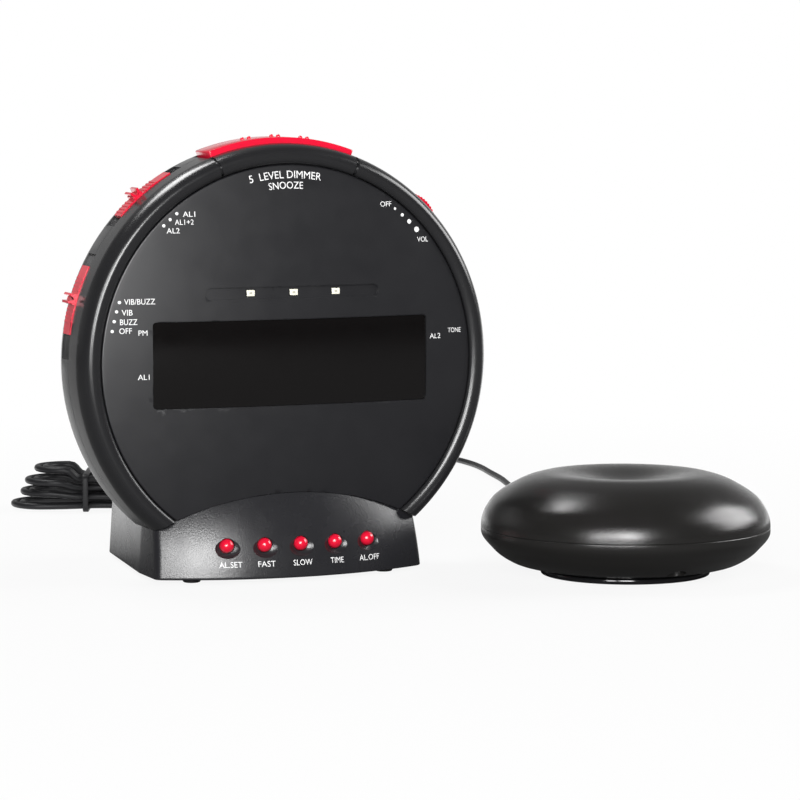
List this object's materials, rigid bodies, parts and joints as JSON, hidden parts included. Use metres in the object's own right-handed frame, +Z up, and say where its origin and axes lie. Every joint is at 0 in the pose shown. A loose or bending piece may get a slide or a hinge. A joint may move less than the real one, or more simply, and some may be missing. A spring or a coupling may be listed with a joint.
{
  "type": "bed shaker alarm clock",
  "caption": "Round desk alarm clock on a bowed base, with a dark display, red snooze bar, rim sliders and buttons, and a wired dished vibrating puck.",
  "frame": {"origin": "middle of the rectangle round the clock and the shaker, on the surface they stand on", "axes": "+X to the right seen from the front, +Y from the face to the back, +Z up"},
  "size_m": [0.2418, 0.3767, 0.1384],
  "materials": {
    "panel_charcoal": "satin with a very fine grain",
    "lens_black": "polished dark window",
    "case_black": "gloss",
    "base_black": "fine moulded texture",
    "shaker_black": "fine moulded texture",
    "ring_black": "gloss",
    "red_plastic": "gloss",
    "lamp_cream": "clear cream diffuser",
    "segment_red": "unlit red",
    "dark_plastic": "moulded",
    "circuit_board": "varnished board",
    "bare_steel": "plated",
    "speaker_paper": "pressed paper",
    "battery_case": "printed can",
    "foot_rubber": "matt",
    "cord_rubber": "smooth, soft sheen",
    "weight_brass": "turned"
  },
  "bodies": {
    "clock": {"face_panel": "panel_charcoal", "display_lens": "lens_black", "display_module": "dark_plastic", "digit_segments": "segment_red", "alert_lamps": "lamp_cream", "lamp_board": "circuit_board", "front_case": "case_black", "rear_case": "case_black", "main_board": "circuit_board", "board_parts": "dark_plastic", "snooze_springs": "bare_steel", "snooze_switch": "dark_plastic", "snooze_board": "circuit_board", "alarm_switch": "bare_steel", "mode_switch": "bare_steel", "volume_pot": "dark_plastic", "tone_pot": "dark_plastic", "case_screws": "bare_steel", "speaker_frame": "bare_steel", "speaker_magnet": "dark_plastic", "speaker_cone": "speaker_paper", "speaker_screws": "bare_steel", "hour_switch": "bare_steel", "base_shell": "base_black", "base_plate": "base_black", "base_screws": "bare_steel", "disc_screws": "bare_steel", "feet": "foot_rubber", "button_board": "circuit_board", "tact_switches": "dark_plastic", "power_jack": "dark_plastic", "shaker_jack": "dark_plastic", "backup_battery": "battery_case", "battery_snap": "dark_plastic", "plug_pin": "bare_steel", "plug_body": "cord_rubber", "cord_to_plug": "cord_rubber", "cord_hank": "cord_rubber", "cord_tie": "cord_rubber", "cord_to_shaker": "cord_rubber", "shaker_top": "shaker_black", "shaker_bottom": "shaker_black", "shaker_foot_ring": "ring_black", "shaker_motor": "bare_steel", "motor_clamp": "bare_steel", "shaker_relief": "cord_rubber", "shaker_screws": "bare_steel"},
    "snooze": {"snooze_bar": "red_plastic"},
    "alarm_slide": {"alarm_slider": "red_plastic"},
    "mode_slide": {"mode_slider": "red_plastic"},
    "volume_knob": {"volume_wheel": "red_plastic"},
    "tone_knob": {"tone_wheel": "red_plastic"},
    "set_button": {"button_alarm_set": "red_plastic"},
    "fast_button": {"button_fast": "red_plastic"},
    "slow_button": {"button_slow": "red_plastic"},
    "time_button": {"button_time": "red_plastic"},
    "off_button": {"button_alarm_off": "red_plastic"},
    "hour_slide": {"hour_knob": "dark_plastic"},
    "door": {"battery_door": "base_black"},
    "weight": {"eccentric_weight": "weight_brass"}
  },
  "joints": [
    {"name": "snooze_press", "type": "slide", "parent": "clock", "child": "snooze", "axis": [0, 0, -1], "range_m": [0, 0.0012], "stiffness_N_per_m": 1200, "deforming": ["snooze_springs"]},
    {"name": "alarm_select", "type": "hinge", "parent": "clock", "child": "alarm_slide", "pos_m": [-0.0389, 0.0218, 0.068], "axis": [0, -1, 0], "range_deg": [-2.7, 2.7]},
    {"name": "mode_select", "type": "hinge", "parent": "clock", "child": "mode_slide", "pos_m": [-0.0389, 0.0218, 0.068], "axis": [0, -1, 0], "range_deg": [-3, 6]},
    {"name": "volume_turn", "type": "hinge", "parent": "clock", "child": "volume_knob", "pos_m": [0.00681, 0.0223, 0.1093], "axis": [0, -1, 0], "range_deg": [-135, 135]},
    {"name": "tone_turn", "type": "hinge", "parent": "clock", "child": "tone_knob", "pos_m": [0.0221, 0.0223, 0.07657], "axis": [0, -1, 0], "range_deg": [-135, 135]},
    {"name": "set_press", "type": "slide", "parent": "clock", "child": "set_button", "axis": [0, 1, 0], "range_m": [0, 0.0006], "stiffness_N_per_m": 300},
    {"name": "fast_press", "type": "slide", "parent": "clock", "child": "fast_button", "axis": [0, 1, 0], "range_m": [0, 0.0006], "stiffness_N_per_m": 300},
    {"name": "slow_press", "type": "slide", "parent": "clock", "child": "slow_button", "axis": [0, 1, 0], "range_m": [0, 0.0006], "stiffness_N_per_m": 300},
    {"name": "time_press", "type": "slide", "parent": "clock", "child": "time_button", "axis": [0, 1, 0], "range_m": [0, 0.0006], "stiffness_N_per_m": 300},
    {"name": "off_press", "type": "slide", "parent": "clock", "child": "off_button", "axis": [0, 1, 0], "range_m": [0, 0.0006], "stiffness_N_per_m": 300},
    {"name": "hour_move", "type": "slide", "parent": "clock", "child": "hour_slide", "axis": [1, 0, 0], "range_m": [0, 0.004]},
    {"name": "door_turn", "type": "hinge", "parent": "clock", "child": "door", "pos_m": [-0.0487, 0.0703, 0.0042], "axis": [-1, 0, 0], "range_deg": [0, 90]},
    {"name": "weight_spin", "type": "hinge", "parent": "clock", "child": "weight", "pos_m": [0.0775, -0.0261, 0.0145], "axis": [1, 0, 0], "continuous": true}
  ]
}
